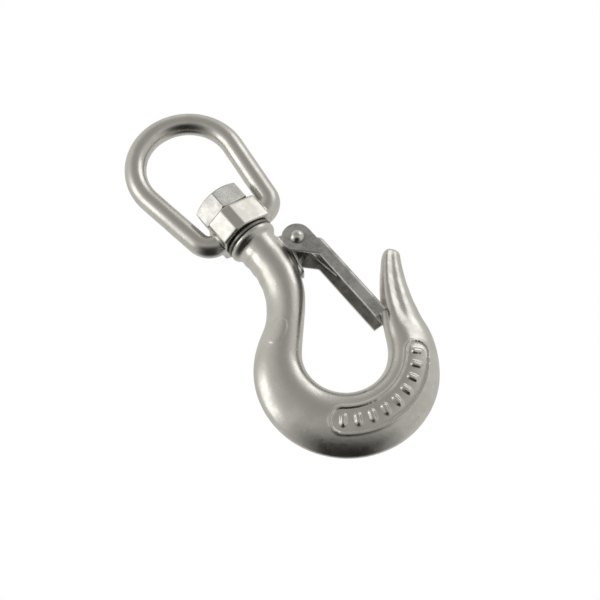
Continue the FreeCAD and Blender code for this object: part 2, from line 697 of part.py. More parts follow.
def lock_pin_place():
    """Outer end and direction of the lock pin, square to a rear flat of the nut."""
    angle = math.radians(NUT_TURN + LOCK_PIN_TURN)
    outward = V(math.cos(angle), math.sin(angle), 0)
    mouth = outward * (NUT_FLATS / 2) + V(0, 0, NUT_BOTTOM + NUT_HEIGHT / 2)
    return mouth, outward


def lock_pin_hole():
    mouth, outward = lock_pin_place()
    radius = LOCK_PIN_DIAMETER / 2 + LOCK_PIN_CLEARANCE
    start = mouth + outward
    return Part.makeCylinder(radius, LOCK_PIN_LENGTH + outward.Length + LOCK_PIN_SINK, start, outward * -1)


def nut_lock_pin():
    mouth, outward = lock_pin_place()
    start = mouth - outward * LOCK_PIN_SINK
    pin = Part.makeCylinder(LOCK_PIN_DIAMETER / 2, LOCK_PIN_LENGTH - LOCK_PIN_SINK, start, outward * -1)
    return pin.makeChamfer(LOCK_PIN_CHAMFER, circles(pin))


def swivel_nut():
    """Hexagon nut, chamfered in the lathe at the top and at the seat."""
    points = []
    for i in range(6):
        angle = math.radians(NUT_TURN + 60 * i + 30)
        points.append(V(NUT_CORNER * math.cos(angle), NUT_CORNER * math.sin(angle), NUT_BOTTOM))
    block = Part.Face(Part.makePolygon(points + points[:1])).extrude(V(0, 0, NUT_HEIGHT))
    outside = NUT_CORNER + NUT_CHAMFER
    top_edge = NUT_FLATS / 2 - NUT_CHAMFER
    seat_edge = NUT_FLATS / 2
    fall = (outside - top_edge) * math.tan(math.radians(NUT_CHAMFER_ANGLE))
    rise = NUT_FOOT_CHAMFER * (outside - seat_edge) / (NUT_CORNER - seat_edge)
    profile = [
        (0, NUT_BOTTOM),
        (seat_edge, NUT_BOTTOM),
        (outside, NUT_BOTTOM + rise),
        (outside, NUT_TOP - fall),
        (top_edge, NUT_TOP),
        (0, NUT_TOP),
    ]
    edges = [line_edge(a, b) for a, b in zip(profile, profile[1:] + profile[:1])]
    turned = Part.Face(Part.Wire(edges)).revolve(V(0, 0, 0), Z_AXIS, 360)
    bore = SHANK_DIAMETER / 2 + NUT_CLEARANCE
    hole = Part.makeCylinder(bore, 2 * NUT_HEIGHT, V(0, 0, NUT_BOTTOM - NUT_HEIGHT / 2), Z_AXIS)
    mouth = Part.makeCone(bore, bore + THREAD_MOUTH, THREAD_MOUTH, V(0, 0, NUT_TOP - THREAD_MOUTH), Z_AXIS)
    return block.common(turned).cut(hole).cut(mouth).cut(lock_pin_hole())


def thrust_washer():
    ring = Part.makeCylinder(WASHER_DIAMETER / 2, WASHER_THICKNESS, V(0, 0, COLLAR_TOP), Z_AXIS)
    ring = ring.makeFillet(WASHER_EDGE, circles(ring))
    hole = SHANK_DIAMETER / 2 + BORE_CLEARANCE
    low = V(0, 0, COLLAR_TOP - WASHER_THICKNESS)
    return ring.cut(Part.makeCylinder(hole, 3 * WASHER_THICKNESS, low, Z_AXIS))


# ------------------------------------------------------------------ latch

def latch_end(web_x):
    """Height of the latch's free end and of the arched cut's top, which clears the tip."""
    arch_z = tip_meeting(web_x)[1] + TIP_GAP
    return arch_z - TIP_CUT_DEPTH, arch_z


def latch_outline(y):
    """Side view of the latch: round ear, slanted notch, and the straight strip to the free end."""
    leave = polar(PIVOT, EAR_RADIUS, EAR_LEAVE)
    web_x = PIVOT[0] + LATCH_WEB_OFFSET
    inner_x = web_x - CHEEK_HEIGHT
    end_z, _ = latch_end(web_x)
    slant = heading(EAR_LEAVE + 90)
    foot = (inner_x, leave[1] + (inner_x - leave[0]) * slant[1] / slant[0])
    corners = [
        leave,
        foot,
        (inner_x, end_z),
        (web_x, end_z),
        (web_x, PIVOT[1] - WEB_START),
        (PIVOT[0] + EAR_RADIUS, PIVOT[1] - NOTCH_START),
        (PIVOT[0] + EAR_RADIUS, PIVOT[1]),
    ]
    edges = [line_edge(a, b, y) for a, b in zip(corners, corners[1:])]
    edges.append(arc_edge(PIVOT, EAR_RADIUS, 0, EAR_LEAVE, y))
    return edges, foot


def edges_near(shape, test):
    """Edges whose middle point and direction pass a test."""
    found = []
    for edge in shape.Edges:
        middle = (edge.FirstParameter + edge.LastParameter) / 2
        if test(edge.valueAt(middle), edge.tangentAt(middle)):
            found.append(edge)
    return found


def tip_cut(web_x):
    """Round bar along X that leaves the arched cut in the web's end, just over the tip."""
    _, arch_z = latch_end(web_x)
    width = tip_section_thickness(tip_meeting(web_x)[0] / TIP_REACH) - TIP_CUT_TRIM
    radius = (width ** 2 / 4 + TIP_CUT_DEPTH ** 2) / (2 * TIP_CUT_DEPTH)
    start = V(web_x - 2 * LATCH_SHEET, 0, arch_z - radius)
    return Part.makeCylinder(radius, 3 * LATCH_SHEET, start, X_AXIS)


def latch():
    """Folded channel: two eared cheeks joined by a web on the outside of the throat."""
    half = LATCH_WIDTH / 2
    web_x = PIVOT[0] + LATCH_WEB_OFFSET
    edges, foot = latch_outline(-half)
    body = slab(edges, -half, half)
    body = body.makeFillet(CHEEK_CORNER, edges_near(
        body, lambda p, t: abs(t.y) > 0.99 and math.dist((p.x, p.z), foot) < TINY))
    body = body.makeFillet(LATCH_BEND, edges_near(
        body, lambda p, t: abs(t.z) > 0.99 and abs(p.x - web_x) < TINY and abs(abs(p.y) - half) < TINY))
    cheek_rims = edges_near(body, lambda p, t: abs(abs(p.y) - half) < TINY and abs(t.y) < TINY)
    cheek_rims = [e for e in cheek_rims if abs(e.CenterOfMass.x - web_x) > LATCH_BEND + TINY]
    body = body.makeFillet(LATCH_EDGE, cheek_rims)
    inside = half - LATCH_SHEET
    reach = 2 * (PIVOT[1] - latch_end(web_x)[0])
    inner_face = web_x - LATCH_SHEET
    corner = V(inner_face - reach, -inside, PIVOT[1] - 0.75 * reach)
    hollow = Part.makeBox(reach, 2 * inside, reach, corner)
    hollow = hollow.makeFillet(LATCH_BEND - LATCH_SHEET, edges_near(
        hollow, lambda p, t: abs(t.z) > 0.99 and abs(p.x - inner_face) < TINY))
    body = body.cut(hollow)
    hole = disc(PIVOT, RIVET_DIAMETER / 2 + RIVET_CLEARANCE, -LATCH_WIDTH, LATCH_WIDTH)
    return body.cut(hole).cut(tip_cut(web_x)).removeSplitter()


def latch_rivet():
    half = LATCH_WIDTH / 2 + HEAD_GAP
    rivet = disc(PIVOT, RIVET_DIAMETER / 2, -half - HEAD_GAP, half + HEAD_GAP)
    radius = RIVET_HEAD_DIAMETER / 2
    dome = (radius ** 2 + RIVET_HEAD_HEIGHT ** 2) / (2 * RIVET_HEAD_HEIGHT)
    for side in (1, -1):
        ball = Part.makeSphere(dome, at(*PIVOT, side * (half + RIVET_HEAD_HEIGHT - dome)))
        low = half if side > 0 else -half - RIVET_HEAD_HEIGHT
        rivet = rivet.fuse(ball.common(disc(PIVOT, radius, low, low + RIVET_HEAD_HEIGHT)))
    return rivet.removeSplitter()


def spring_bend():
    """Where the spring's cross bar lies against the throat side, as (x, z)."""
    level = PIVOT[1] - SPRING_BACK_LEG
    off = WIRE / 2 + SPRING_GAP
    if level >= NECK_Z:
        return (NECK_DIAMETER / 2 + off, level)
    if level >= BEND_END[1]:
        angle = -math.degrees(math.asin((NECK_Z - level) / THROAT_SIDE_RADIUS))
        return polar(BEND_CENTRE, THROAT_SIDE_RADIUS + off, angle)
    below = (BEND_END[1] - level) / UP_THE_THROAT[1]
    return polar((BEND_END[0] - below * UP_THE_THROAT[0], level), off, -THROAT_LEAN)


def tangent_angle(target, radius, side):
    """Angle on a circle round the rivet from which a straight leg runs to a point."""
    dx = target[0] - PIVOT[0]
    dz = target[1] - PIVOT[1]
    spread = math.degrees(math.acos(radius / math.hypot(dx, dz)))
    return math.degrees(math.atan2(dz, dx)) + side * spread


def coil_turn(start, end, inner_y):
    """Angle wound from one leg to the other, with as many whole turns as fit beside the lug."""
    part = (start - end) % 360
    room = LATCH_WIDTH / 2 - LATCH_SHEET - CHEEK_CLEARANCE - WIRE / 2 - inner_y
    whole = max(0, math.floor(room / (WIRE + COIL_GAP) - part / 360))
    return part + 360 * whole


def spring_coil(radius, start, turn, inner_y):
    """Coil in front of the lug, wound outwards from the lug's side, clockwise from the front."""
    pitch = WIRE + COIL_GAP
    helix = Part.makeHelix(pitch, pitch * turn / 360, radius, 0, True)
    section = Part.Wire([Part.makeCircle(WIRE / 2, V(radius, 0, 0), Y_AXIS)])
    coil = Part.Wire(helix).makePipeShell([section], True, False)
    coil.rotate(V(0, 0, 0), Z_AXIS, start)
    coil.rotate(V(0, 0, 0), X_AXIS, 90)
    coil.translate(at(*PIVOT, -inner_y))
    return coil


def spring_back_leg(radius, start, low, inner_y):
    """U-shaped leg: down from one coil, across the neck under the lug, and up to the other coil."""
    top = polar(PIVOT, radius, start)
    down = V(low[0] - top[0], 0, low[1] - top[1])
    down.normalize()
    turn = SPRING_CORNER
    corner_y = inner_y - turn
    bar = at(*low)
    leg_end = bar - down * turn
    middle = bar - down * (turn * (1 - math.sqrt(0.5)))
    middle_y = corner_y + turn * math.sqrt(0.5)
    edges = [
        Part.LineSegment(at(*top, -inner_y), leg_end - Y_AXIS * inner_y).toShape(),
        Part.Arc(leg_end - Y_AXIS * inner_y, middle - Y_AXIS * middle_y, bar - Y_AXIS * corner_y).toShape(),
        Part.LineSegment(bar - Y_AXIS * corner_y, bar + Y_AXIS * corner_y).toShape(),
        Part.Arc(bar + Y_AXIS * corner_y, middle + Y_AXIS * middle_y, leg_end + Y_AXIS * inner_y).toShape(),
        Part.LineSegment(leg_end + Y_AXIS * inner_y, at(*top, inner_y)).toShape(),
    ]
    section = Part.Wire([Part.makeCircle(WIRE / 2, at(*top, -inner_y), down)])
    return Part.Wire(edges).makePipeShell([section], True, False)


def latch_spring():
    """Double torsion spring: a coil each side of the lug, a U-leg on the neck, two legs on the web."""
    radius = RIVET_DIAMETER / 2 + COIL_CLEARANCE + WIRE / 2
    inner_y = LUG_THICKNESS / 2 + LUG_CLEARANCE + WIRE / 2
    low = spring_bend()
    web_x = PIVOT[0] + LATCH_WEB_OFFSET - LATCH_SHEET - WIRE / 2 - SPRING_GAP
    foot = (web_x, PIVOT[1] - SPRING_FRONT_LEG)
    start = tangent_angle(low, radius, -1)
    end = tangent_angle(foot, radius, 1)
    turn = coil_turn(start, end, inner_y)
    outer_y = inner_y + (WIRE + COIL_GAP) * turn / 360
    coil = spring_coil(radius, start, turn, inner_y)
    leaves = at(*polar(PIVOT, radius, end), -outer_y)
    tip = at(*foot, -outer_y)
    leg = Part.makeCylinder(WIRE / 2, (tip - leaves).Length, leaves, tip - leaves)
    half = coil.fuse(leg)
    for joint in (leaves, tip, at(*polar(PIVOT, radius, start), -inner_y)):
        half = half.fuse(Part.makeSphere(WIRE / 2 + JOINT_SWELL, joint))
    spring = spring_back_leg(radius, start, low, inner_y)
    return spring.fuse(half).fuse(half.mirror(V(0, 0, 0), Y_AXIS))


NODES = {
    "swivel_eye": swivel_eye,
    "hook_body": hook_body,
    "swivel_nut": swivel_nut,
    "nut_lock_pin": nut_lock_pin,
    "thrust_washer": thrust_washer,
    "latch": latch,
    "latch_rivet": latch_rivet,
    "latch_spring": latch_spring,
}

os.makedirs("parts", exist_ok=True)
for name, build in NODES.items():
    shape = build()
    shape.exportStep("parts/" + name + ".step")
    print(name, "valid", shape.isValid(), "solids", len(shape.Solids), "volume", round(shape.Volume, 1))
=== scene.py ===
"""Looks of the swivel hook: softened castings, the latch's sprung wire, the finishes and the studio.

Lengths in the classes are millimetres, as on a drawing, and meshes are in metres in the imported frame:
+Z runs up the swivel axis, +X points to the throat and the tip, and Y is the thickness.
"""
import json
import logging
import math
from dataclasses import dataclass, field
from enum import Enum

import bpy
from mathutils import Matrix, Vector


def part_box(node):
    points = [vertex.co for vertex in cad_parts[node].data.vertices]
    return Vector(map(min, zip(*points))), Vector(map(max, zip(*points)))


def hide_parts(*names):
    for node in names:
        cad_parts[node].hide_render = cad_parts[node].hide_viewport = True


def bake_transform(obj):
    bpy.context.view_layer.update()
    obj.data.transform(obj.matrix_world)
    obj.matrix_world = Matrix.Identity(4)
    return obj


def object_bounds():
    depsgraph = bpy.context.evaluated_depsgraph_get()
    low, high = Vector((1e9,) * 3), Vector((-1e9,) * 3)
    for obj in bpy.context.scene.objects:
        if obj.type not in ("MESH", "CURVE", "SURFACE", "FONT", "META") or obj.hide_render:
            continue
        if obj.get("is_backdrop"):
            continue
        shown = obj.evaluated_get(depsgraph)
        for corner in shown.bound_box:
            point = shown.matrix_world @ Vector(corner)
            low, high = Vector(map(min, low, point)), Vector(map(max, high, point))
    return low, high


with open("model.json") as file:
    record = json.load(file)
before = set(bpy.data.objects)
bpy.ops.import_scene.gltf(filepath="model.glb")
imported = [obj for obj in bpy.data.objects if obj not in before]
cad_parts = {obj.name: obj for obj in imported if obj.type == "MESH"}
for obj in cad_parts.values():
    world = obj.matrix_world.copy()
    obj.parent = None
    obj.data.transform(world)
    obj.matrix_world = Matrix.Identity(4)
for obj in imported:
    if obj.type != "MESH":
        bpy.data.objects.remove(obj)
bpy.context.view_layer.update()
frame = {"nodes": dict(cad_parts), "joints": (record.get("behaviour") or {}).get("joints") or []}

MM = 0.001
WELD_DISTANCE = 0.0005 * MM
WHITE = (1.0, 1.0, 1.0)
CAP_SHARES = (0.15, 0.5, 0.8, 0.95)  # widths of the rings that round a wire's end
LOG = logging.getLogger("swivel_hook")
Colour = tuple[float, float, float]
Socket = bpy.types.NodeSocket


class Body(Enum):
    """The bodies that move against each other."""

    EYE = "eye"
    HOOK = "hook"
    LATCH = "latch_flap"


class Node(Enum):
    """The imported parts."""

    EYE = "swivel_eye"
    HOOK = "hook_body"
    NUT = "swivel_nut"
    LOCK_PIN = "nut_lock_pin"
    WASHER = "thrust_washer"
    LATCH = "latch"
    RIVET = "latch_rivet"
    SPRING = "latch_spring"


# ---------------------------------------------------------------- node graphs


class Graph:
    """A shader node tree with short calls that add nodes and join them."""

    def __init__(self, tree: bpy.types.NodeTree) -> None:
        """Keeps the tree.

        Args:
            tree: The material's, group's or world's node tree.
        """
        self.tree = tree

    def add(self, kind: str, **settings: object) -> bpy.types.Node:
        """Adds a node.

        Args:
            kind: The node's type, without its ShaderNode prefix.
            settings: The node's own options.

        Returns:
            The new node.
        """
        node = self.tree.nodes.new("ShaderNode" + kind)
        for name, value in settings.items():
            setattr(node, name, value)
        return node

    def feed(self, target: Socket, value: object) -> None:
        """Joins an output to an input, or sets the input's constant.

        Args:
            target: The input socket.
            value: An output socket or a constant.
        """
        if isinstance(value, bpy.types.NodeSocket):
            self.tree.links.new(value, target)
        elif target.type == "RGBA" and len(value) == 3:
            target.default_value = (*value, 1.0)
        else:
            target.default_value = value

    def math(self, operation: str, first: object, second: object = 0.0) -> Socket:
        """Adds a Math node.

        Args:
            operation: The Math node's operation.
            first: The first value, a socket or a number.
            second: The second value, a socket or a number.

        Returns:
            The result's socket.
        """
        node = self.add("Math", operation=operation)
        self.feed(node.inputs[0], first)
        self.feed(node.inputs[1], second)
        return node.outputs[0]

    def span(
        self, value: object, low: object, high: object, start: float = 0.0, end: float = 1.0
    ) -> Socket:
        """Maps a value smoothly from one span to another and clamps it.

        Args:
            value: The value's socket.
            low: Value that gives start.
            high: Value that gives end.
            start: Result at low.
            end: Result at high.

        Returns:
            The result's socket.
        """
        node = self.add("MapRange", interpolation_type="SMOOTHSTEP")
        for index, given in enumerate((value, low, high, start, end)):
            self.feed(node.inputs[index], given)
        return node.outputs[0]

    def noise(self, vector: Socket, scale: object, detail: float = 3.0, roughness: float = 0.5) -> Socket:
        """Adds a Noise texture.

        Args:
            vector: The coordinates.
            scale: Cells a metre.
            detail: Octaves.
            roughness: How strong the finer octaves are.

        Returns:
            The noise's value, about 0.2 to 0.8.
        """
        node = self.add("TexNoise")
        self.feed(node.inputs["Vector"], vector)
        self.feed(node.inputs["Scale"], scale)
        node.inputs["Detail"].default_value = detail
        node.inputs["Roughness"].default_value = roughness
        return node.outputs[0]

    def blend(self, share: object, first: object, second: object) -> Socket:
        """Mixes two colours.

        Args:
            share: How much of the second colour, a socket or a number.
            first: A colour or its socket.
            second: A colour or its socket.

        Returns:
            The mixed colour's socket.
        """
        node = self.add("Mix", data_type="RGBA")
        self.feed(node.inputs["Factor"], share)
        self.feed(node.inputs[6], first)
        self.feed(node.inputs[7], second)
        return node.outputs[2]

    def dot(self, vector: Socket, axis: Vector) -> Socket:
        """Gives a vector's part along an axis.

        Args:
            vector: The vector's socket.
            axis: A constant direction.

        Returns:
            The dot product's socket.
        """
        node = self.add("VectorMath", operation="DOT_PRODUCT")
        self.feed(node.inputs[0], vector)
        node.inputs[1].default_value = axis
        return node.outputs["Value"]


@dataclass
class SharedGroup:
    """A node group that several finishes use, with named inputs and outputs."""

    name: str
    inputs: dict[str, float]
    outputs: tuple[str, ...]
    tree: bpy.types.NodeTree = field(init=False)

    def __post_init__(self) -> None:
        """Makes the empty group with its sockets. Every group takes a Vector."""
        self.tree = bpy.data.node_groups.new(self.name, "ShaderNodeTree")
        face = self.tree.interface
        face.new_socket(name="Vector", in_out="INPUT", socket_type="NodeSocketVector")
        for name, value in self.inputs.items():
            face.new_socket(name=name, in_out="INPUT", socket_type="NodeSocketFloat").default_value = value
        for name in self.outputs:
            face.new_socket(name=name, in_out="OUTPUT", socket_type="NodeSocketFloat")
        self.graph = Graph(self.tree)
        self.given = self.tree.nodes.new("NodeGroupInput").outputs
        self.result = self.tree.nodes.new("NodeGroupOutput").inputs

    def place(self, graph: Graph, vector: Socket, **values: float) -> bpy.types.NodeOutputs:
        """Places the group in a material with its own values.

        Args:
            graph: The material's graph.
            vector: The coordinates.
            values: Inputs by name, with underscores for spaces.

        Returns:
            The group node's outputs.
        """
        node = graph.add("Group")
        node.node_tree = self.tree
        graph.feed(node.inputs["Vector"], vector)
        for name, value in values.items():
            node.inputs[name.replace("_", " ")].default_value = value
        return node.outputs


class Effects:
    """The groups that the finishes share."""

    def __init__(self) -> None:
        """Builds each group once."""
        self.grain = self._grain()
        # Bright outward edges, partly a painted highlight, and painted shade in inward corners.
        self.edges_and_corner_shade = self._edges_and_corner_shade()
        self.marks = self._marks()
        self.rings = self._rings()

    def _grain(self) -> SharedGroup:
        """Fine grain, broad mottling and sparse pits of a tumbled surface.

        Returns:
            The group, with Height, Mottle and Pits.
        """
        inputs = {"Grain Scale": 3000.0, "Mottle Scale": 160.0, "Pit Scale": 700.0, "Pit Share": 0.3}
        group = SharedGroup("tumbled_grain", inputs, ("Height", "Mottle", "Pits"))
        graph, given = group.graph, group.given
        fine = graph.noise(given["Vector"], given["Grain Scale"], 4.0, 0.6)
        broad = graph.noise(given["Vector"], given["Mottle Scale"], 5.0, 0.62)
        cells = graph.add("TexVoronoi")
        graph.feed(cells.inputs["Vector"], given["Vector"])
        graph.feed(cells.inputs["Scale"], given["Pit Scale"])
        deep = graph.span(cells.outputs["Distance"], 0.06, 0.22, 1.0, 0.0)
        chosen = graph.span(cells.outputs["Color"], given["Pit Share"], 0.0)
        pits = graph.math("MULTIPLY", deep, chosen)
        relief = graph.math("MULTIPLY_ADD", broad, 0.9)
        graph.feed(relief.node.inputs[2], graph.math("MULTIPLY", fine, 0.3))
        graph.feed(group.result["Height"], graph.math("SUBTRACT", relief, graph.math("MULTIPLY", pits, 0.5)))
        graph.feed(group.result["Mottle"], graph.span(broad, 0.36, 0.64))
        graph.feed(group.result["Pits"], pits)
        return group

    def _edges_and_corner_shade(self) -> SharedGroup:
        """Bright outward edges, partly wear and partly a painted highlight, and painted shade in inward
        corners, broken up by noise.

        Returns:
            The group, with the bright edges and the painted corner shade.
        """
        inputs = {
            "Edge Start": 0.52, "Edge Full": 0.58, "Corner Start": 0.485, "Corner Full": 0.44, "Breakup": 0.5}
        group = SharedGroup("bright_edges_and_corner_shade", inputs, ("Bright", "Corner Shade"))
        graph, given = group.graph, group.given
        sharp = graph.add("NewGeometry").outputs["Pointiness"]
        patchy = graph.noise(given["Vector"], 420.0, 3.0)
        kept = graph.math("SUBTRACT", 1.0, graph.math("MULTIPLY", given["Breakup"], patchy))
        # Bright outward edges: partly wear, partly a painted highlight.
        bright = graph.span(sharp, given["Edge Start"], given["Edge Full"])
        # Painted shade: inward corners, found by low pointiness.
        corner_shade = graph.span(sharp, given["Corner Start"], given["Corner Full"])
        graph.feed(group.result["Bright"], graph.math("MULTIPLY", bright, kept))
        graph.feed(group.result["Corner Shade"], graph.math("MULTIPLY", corner_shade, kept))
        return group

    def _marks(self) -> SharedGroup:
        """Fine straight marks that run along one axis.

        Returns:
            The group, with Height and Mark.
        """
        inputs = {"Mark Scale": 1800.0, "Along X": 1.0, "Along Y": 1.0, "Along Z": 0.05}
        group = SharedGroup("fine_marks", inputs, ("Height", "Mark"))
        graph, given = group.graph, group.given
        stretch = graph.add("CombineXYZ")
        for index, name in enumerate(("Along X", "Along Y", "Along Z")):
            graph.feed(stretch.inputs[index], given[name])
        scaled = graph.add("VectorMath", operation="MULTIPLY")
        graph.feed(scaled.inputs[0], given["Vector"])
        graph.feed(scaled.inputs[1], stretch.outputs[0])
        lines = graph.noise(scaled.outputs[0], given["Mark Scale"], 3.0, 0.65)
        graph.feed(group.result["Height"], lines)
        graph.feed(group.result["Mark"], graph.span(lines, 0.52, 0.68))
        return group

    def _rings(self) -> SharedGroup:
        """Turning marks round the swivel axis.

        Returns:
            The group, with Height.
        """
        group = SharedGroup("turning_rings", {"Pitch": 0.00022}, ("Height",))
        graph, given = group.graph, group.given
        parts = graph.add("SeparateXYZ")
        graph.feed(parts.inputs[0], given["Vector"])
        flat = graph.add("CombineXYZ")
        graph.feed(flat.inputs[0], parts.outputs[0])
        graph.feed(flat.inputs[1], parts.outputs[1])
        radius = graph.add("VectorMath", operation="LENGTH")
        graph.feed(radius.inputs[0], flat.outputs[0])
        travel = graph.math("ADD", radius.outputs["Value"], parts.outputs[2])
        turns = graph.math("DIVIDE", travel, given["Pitch"])
        wave = graph.math("SINE", graph.math("MULTIPLY", turns, math.tau))
        uneven = graph.noise(given["Vector"], 900.0, 2.0)
        graph.feed(group.result["Height"], graph.math("MULTIPLY", wave, uneven))
        return group


# ---------------------------------------------------------------- finishes


@dataclass(frozen=True)
class MetalFinish:
    """A bare metal surface: its two tones, gloss, grain, bright edges that are partly wear and partly a
    painted highlight, painted shade in inward corners, and marks.
    """

    name: str
    light: Colour
    dark: Colour
    rough_low: float
    rough_high: float
    grain_scale: float = 3000.0
    mottle_scale: float = 160.0
    relief: float = 0.012
    # Tone of the bright outward edges, partly wear and partly a painted highlight.
    edge_tone: Colour = (0.86, 0.85, 0.82)
    edge_share: float = 0.6
    edge_start: float = 0.52
    edge_full: float = 0.57
    # Strength of the painted shade in inward corners.
    corner_shade_share: float = 0.55
    mark_scale: float = 1800.0
    mark_depth: float = 0.0
    mark_along: tuple[float, float, float] = (1.0, 1.0, 0.05)
    ring_depth: float = 0.0
    pit_share: float = 0.5
    wear_gloss: float = 0.12
    # Extra roughness where the inward corners get painted shade.
    corner_shade_dullness: float = 0.2
    shadow_share: float = 0.35

    def build(self, effects: Effects) -> bpy.types.Material:
        """Makes the material.

        Args:
            effects: The shared node groups.

        Returns:
            The material.
        """
        material = bpy.data.materials.new(self.name)
        material.use_nodes = True
        graph = Graph(material.node_tree)
        shader = material.node_tree.nodes["Principled BSDF"]
        vector = graph.add("TexCoord").outputs["Object"]
        grain = effects.grain.place(
            graph, vector, Grain_Scale=self.grain_scale, Mottle_Scale=self.mottle_scale)
        edges_and_corner_shade = effects.edges_and_corner_shade.place(graph, vector, Edge_Start=self.edge_start, Edge_Full=self.edge_full)
        bright = graph.math("MULTIPLY", edges_and_corner_shade["Bright"], self.edge_share)
        corner_shade = graph.math("MULTIPLY", edges_and_corner_shade["Corner Shade"], self.corner_shade_share)
        pits = graph.math("MULTIPLY", grain["Pits"], self.pit_share)
        tone = graph.blend(grain["Mottle"], self.dark, self.light)
        # Painted highlight, partly wear: outward edges are lightened to the edge tone.
        tone = graph.blend(bright, tone, self.edge_tone)
        # Painted shade: inward corners and pits take the dark shadow tone.
        tone = graph.blend(graph.math("MAXIMUM", corner_shade, pits), tone, self.shadow_tone())
        tone = self.dress(graph, tone)
        graph.feed(shader.inputs["Base Color"], tone)
        shader.inputs["Metallic"].default_value = 1.0
        gloss = graph.span(grain["Mottle"], 0.0, 1.0, self.rough_high, self.rough_low)
        gloss = graph.math("SUBTRACT", gloss, graph.math("MULTIPLY", bright, self.wear_gloss))
        gloss = graph.math("ADD", gloss, graph.math("MULTIPLY", corner_shade, self.corner_shade_dullness))
        graph.feed(shader.inputs["Roughness"], gloss)
        height = self.height(graph, effects, vector, grain["Height"])
        bump = graph.add("Bump")
        bump.inputs["Strength"].default_value = 1.0
        bump.inputs["Distance"].default_value = MM
        graph.feed(bump.inputs["Height"], height)
        graph.feed(shader.inputs["Normal"], bump.outputs[0])
        return material

    def shadow_tone(self) -> Colour:
        """Tone of the painted shade in inward corners, also given to pits."""
        return tuple(value * self.shadow_share for value in self.dark)

    def height(self, graph: Graph, effects: Effects, vector: Socket, grain: Socket) -> Socket:
        """Adds up the relief.

        Args:
            graph: The material's graph.
            effects: The shared node groups.
            vector: The coordinates.
            grain: The grain's height.

        Returns:
            The height's socket, in millimetres.
        """
        total = graph.math("MULTIPLY", grain, self.relief)
        if self.mark_depth:
            x, y, z = self.mark_along
            marks = effects.marks.place(
                graph, vector, Mark_Scale=self.mark_scale, Along_X=x, Along_Y=y, Along_Z=z)
            total = graph.math("ADD", total, graph.math("MULTIPLY", marks["Height"], self.mark_depth))
        if self.ring_depth:
            rings = effects.rings.place(graph, vector)
            total = graph.math("ADD", total, graph.math("MULTIPLY", rings["Height"], self.ring_depth))
        return total

    def dress(self, graph: Graph, tone: Socket) -> Socket:
        """Leaves the tone as it is. A finish with a pattern of its own changes it here.

        Args:
            graph: The material's graph, not used here.
            tone: The colour so far.

        Returns:
            The colour's socket.
        """
        return tone


@dataclass(frozen=True)
class SheetFinish(MetalFinish):
    """Matt rolled sheet whose sheared edges are painted bright: partly the cut metal's own lighter tone,
    partly a painted highlight.
    """

    cut_edge_tone_and_highlight: Colour = (0.80, 0.79, 0.76)
    speckle_scale: float = 2600.0
    web_face: float = 0.0
    cut_depth: float = 0.3
    speckle_span: tuple[float, float] = (0.42, 0.62)
    speckle_share: float = 0.5
    cut_span: tuple[float, float] = (0.75, 0.35)

    def dress(self, graph: Graph, tone: Socket) -> Socket:
        """Adds the fine speckle and the bright sheared edges, partly a painted highlight.

        Args:
            graph: The material's graph.
            tone: The colour so far.

        Returns:
            The colour's socket.
        """
        coordinates = graph.add("TexCoord")
        speckle = graph.noise(coordinates.outputs["Object"], self.speckle_scale, 2.0, 0.7)
        tone = graph.blend(graph.span(speckle, *self.speckle_span, 0.0, self.speckle_share), tone, self.light)
        # Bright sheared edges: sideways faces off the web take the cut tone, partly the cut metal's own tone
        # and partly a painted highlight.
        parts = graph.add("SeparateXYZ")
        graph.feed(parts.inputs[0], coordinates.outputs["Normal"])
        place = graph.add("SeparateXYZ")
        graph.feed(place.inputs[0], coordinates.outputs["Object"])
        sideways = graph.math("ABSOLUTE", parts.outputs[1])
        edge = graph.span(sideways, *self.cut_span)
        inside = graph.span(place.outputs[0], self.web_face, self.web_face - self.cut_depth * MM)
        return graph.blend(graph.math("MULTIPLY", edge, inside), tone, self.cut_edge_tone_and_highlight)


# ---------------------------------------------------------------- sub-assemblies


def soften(node: bpy.types.Object, voxel: float, rounds: int, strength: float = 0.5) -> None:
    """Gives a part even faces and lets its corners run together, as casting and tumbling leave them.

    Args:
        node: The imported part.
        voxel: Size of the faces, in millimetres.
        rounds: How many times the surface is smoothed.
        strength: How much each round moves a point.
    """
    weld = node.modifiers.new("weld", "WELD")
    weld.merge_threshold = WELD_DISTANCE
    remesh = node.modifiers.new("even_faces", "REMESH")
    remesh.mode = "VOXEL"
    remesh.voxel_size = voxel * MM
    remesh.use_smooth_shade = True
    smooth = node.modifiers.new("tumbled", "SMOOTH")
    smooth.factor = strength
    smooth.iterations = rounds


def paint(piece: bpy.types.Object, material: bpy.types.Material) -> None:
    """Gives a piece one finish all over.

    Args:
        piece: The mesh.
        material: Its finish.
    """
    piece.data.materials.clear()
    piece.data.materials.append(material)
    LOG.info("%s is finished in %s", piece.name, material.name)


@dataclass
class Castings:
    """The eye and the hook: one tumbled stainless finish, with soft corners."""

    eye_face: float = 0.30
    hook_face: float = 0.33
    eye_rounds: int = 7
    hook_rounds: int = 4
    finish: MetalFinish = MetalFinish(
        "tumbled_cast_steel", light=(0.66, 0.645, 0.61), dark=(0.60, 0.585, 0.55), rough_low=0.25,
        rough_high=0.33, relief=0.011, edge_share=0.35)

    def build(self, effects: Effects) -> None:
        """Softens and paints both castings.

        Args:
            effects: The shared node groups.
        """
        material = self.finish.build(effects)
        for name, face, rounds in (
            (Node.EYE, self.eye_face, self.eye_rounds),
            (Node.HOOK, self.hook_face, self.hook_rounds),
        ):
            node = frame["nodes"][name.value]
            soften(node, face, rounds)
            paint(node, material)


